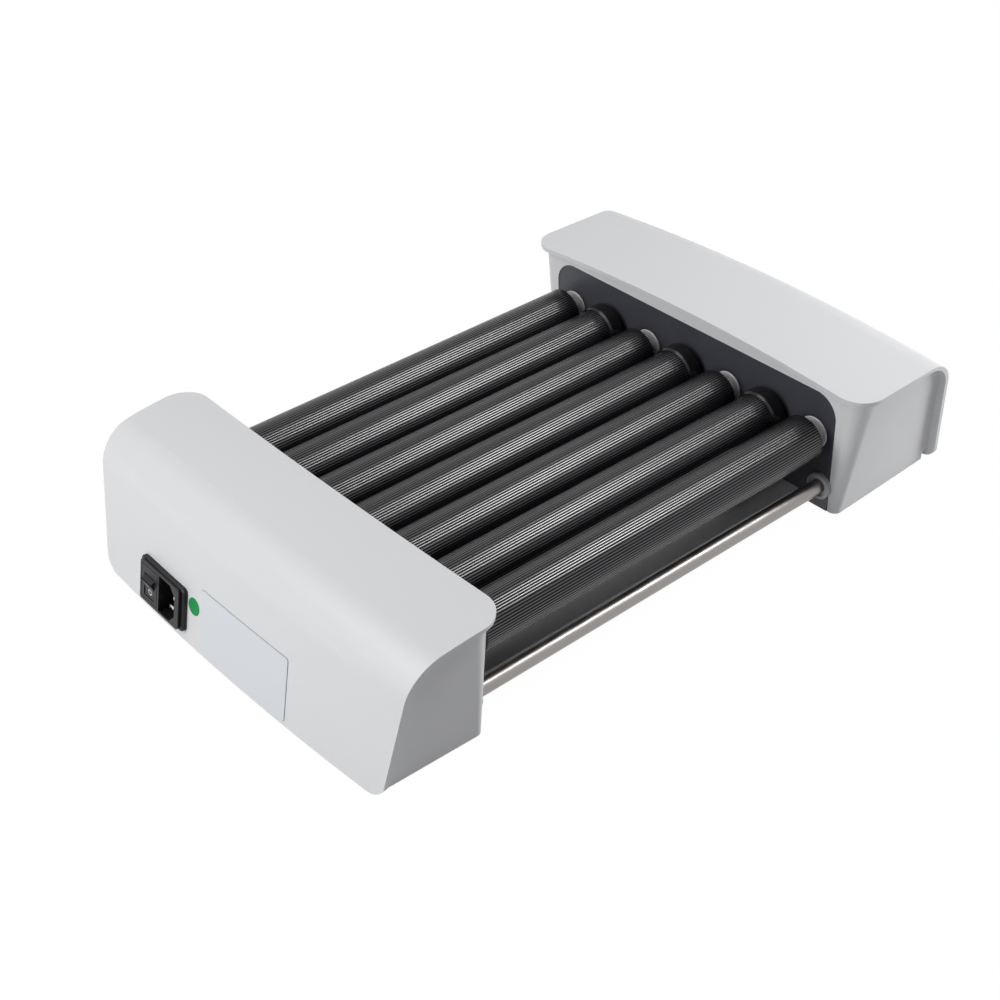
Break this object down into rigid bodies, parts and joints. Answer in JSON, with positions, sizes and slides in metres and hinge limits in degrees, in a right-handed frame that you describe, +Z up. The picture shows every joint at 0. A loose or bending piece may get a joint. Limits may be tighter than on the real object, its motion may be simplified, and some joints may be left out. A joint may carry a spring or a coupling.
{
  "type": "tube roller mixer",
  "caption": "Bench roller mixer: row of driven fluted rollers between two white end housings, with tie rods, drip tray, mains inlet with rocker, and speed knob.",
  "frame": {"origin": "on the resting surface, below the middle of the machine", "axes": "+X along the rollers, from the mains housing to the wider control housing; +Y across the rollers; +Z up"},
  "size_m": [0.4734, 0.2902, 0.0934],
  "materials": {
    "white_shell": "satin",
    "dark_panel": "satin",
    "roller_rubber": "fluted, satin",
    "end_plastic": "satin",
    "shaft_steel": "ground",
    "pulley_aluminium": "turned",
    "bush_white": "satin",
    "rod_steel": "brushed",
    "grommet_grey": "satin",
    "zinc_steel": "plated",
    "foot_rubber": "matte",
    "tray_grey": "satin",
    "motor_body": "satin",
    "belt_rubber": "matte",
    "board_green": "satin",
    "black_plastic": "satin",
    "moving_black": "polished",
    "pin_brass": "plated",
    "screen_glass": "polished"
  },
  "bodies": {
    "frame": {"drive_cover": "white_shell", "control_cover": "white_shell", "drive_case": "white_shell", "control_case": "white_shell", "drive_panel": "dark_panel", "control_panel": "dark_panel", "drive_base_plate": "zinc_steel", "control_base_plate": "zinc_steel", "base_screws": "zinc_steel", "rubber_feet": "foot_rubber", "drip_tray": "tray_grey", "tie_rod_front": "rod_steel", "tie_rod_rear": "rod_steel", "rod_grommets": "grommet_grey", "rod_nuts": "zinc_steel", "bushes_drive_side": "bush_white", "bushes_control_side": "bush_white", "gearmotor": "motor_body", "motor_bracket": "zinc_steel", "drive_belts": "belt_rubber", "power_board": "board_green", "inlet_module": "black_plastic", "inlet_pins": "pin_brass", "control_plate": "black_plastic", "display_screen": "screen_glass", "speed_control": "black_plastic", "control_board": "board_green"},
    "roller_1": {"roller_tube_1": "roller_rubber", "roller_ends_1": "end_plastic", "roller_shaft_1": "shaft_steel", "roller_pulley_1": "pulley_aluminium"},
    "roller_2": {"roller_tube_2": "roller_rubber", "roller_ends_2": "end_plastic", "roller_shaft_2": "shaft_steel", "roller_pulley_2": "pulley_aluminium"},
    "roller_3": {"roller_tube_3": "roller_rubber", "roller_ends_3": "end_plastic", "roller_shaft_3": "shaft_steel", "roller_pulley_3": "pulley_aluminium"},
    "roller_4": {"roller_tube_4": "roller_rubber", "roller_ends_4": "end_plastic", "roller_shaft_4": "shaft_steel", "roller_pulley_4": "pulley_aluminium"},
    "roller_5": {"roller_tube_5": "roller_rubber", "roller_ends_5": "end_plastic", "roller_shaft_5": "shaft_steel", "roller_pulley_5": "pulley_aluminium"},
    "roller_6": {"roller_tube_6": "roller_rubber", "roller_ends_6": "end_plastic", "roller_shaft_6": "shaft_steel", "roller_pulley_6": "pulley_aluminium"},
    "roller_7": {"roller_tube_7": "roller_rubber", "roller_ends_7": "end_plastic", "roller_shaft_7": "shaft_steel", "roller_pulley_7": "pulley_aluminium"},
    "motor_drive": {"motor_shaft": "shaft_steel", "motor_pulley": "pulley_aluminium"},
    "rocker": {"power_rocker": "moving_black"},
    "knob": {"speed_knob": "moving_black"}
  },
  "joints": [
    {"name": "roller_1_spin", "type": "hinge", "parent": "frame", "child": "roller_1", "pos_m": [-0.0138, 0.10638, 0.0536], "axis": [1, 0, 0], "continuous": true},
    {"name": "roller_2_spin", "type": "hinge", "parent": "frame", "child": "roller_2", "pos_m": [-0.0138, 0.07092, 0.0536], "axis": [1, 0, 0], "continuous": true},
    {"name": "roller_3_spin", "type": "hinge", "parent": "frame", "child": "roller_3", "pos_m": [-0.0138, 0.03546, 0.0536], "axis": [1, 0, 0], "continuous": true},
    {"name": "roller_4_spin", "type": "hinge", "parent": "frame", "child": "roller_4", "pos_m": [-0.0138, 0, 0.0536], "axis": [1, 0, 0], "continuous": true},
    {"name": "roller_5_spin", "type": "hinge", "parent": "frame", "child": "roller_5", "pos_m": [-0.0138, -0.03546, 0.0536], "axis": [1, 0, 0], "continuous": true},
    {"name": "roller_6_spin", "type": "hinge", "parent": "frame", "child": "roller_6", "pos_m": [-0.0138, -0.07092, 0.0536], "axis": [1, 0, 0], "continuous": true},
    {"name": "roller_7_spin", "type": "hinge", "parent": "frame", "child": "roller_7", "pos_m": [-0.0138, -0.10638, 0.0536], "axis": [1, 0, 0], "continuous": true},
    {"name": "motor_spin", "type": "hinge", "parent": "frame", "child": "motor_drive", "pos_m": [-0.1708, -0.0865, 0.025], "axis": [1, 0, 0], "continuous": true},
    {"name": "rocker_tilt", "type": "hinge", "parent": "frame", "child": "rocker", "pos_m": [-0.22984, 0.07532, 0.02064], "axis": [0.0296, 0.9996, 0], "range_deg": [0, 30]},
    {"name": "knob_turn", "type": "hinge", "parent": "frame", "child": "knob", "pos_m": [0.22701, 0.028, 0.0489], "axis": [-0.9836, 0, -0.1805], "range_deg": [0, 300]}
  ],
  "couplings": [
    {"joint": "roller_1_spin", "follows": "roller_4_spin", "ratio": 1},
    {"joint": "roller_2_spin", "follows": "roller_4_spin", "ratio": 1},
    {"joint": "roller_3_spin", "follows": "roller_4_spin", "ratio": 1},
    {"joint": "roller_5_spin", "follows": "roller_4_spin", "ratio": 1},
    {"joint": "roller_6_spin", "follows": "roller_4_spin", "ratio": 1},
    {"joint": "roller_7_spin", "follows": "roller_4_spin", "ratio": 1},
    {"joint": "motor_spin", "follows": "roller_4_spin", "ratio": 1.5}
  ]
}
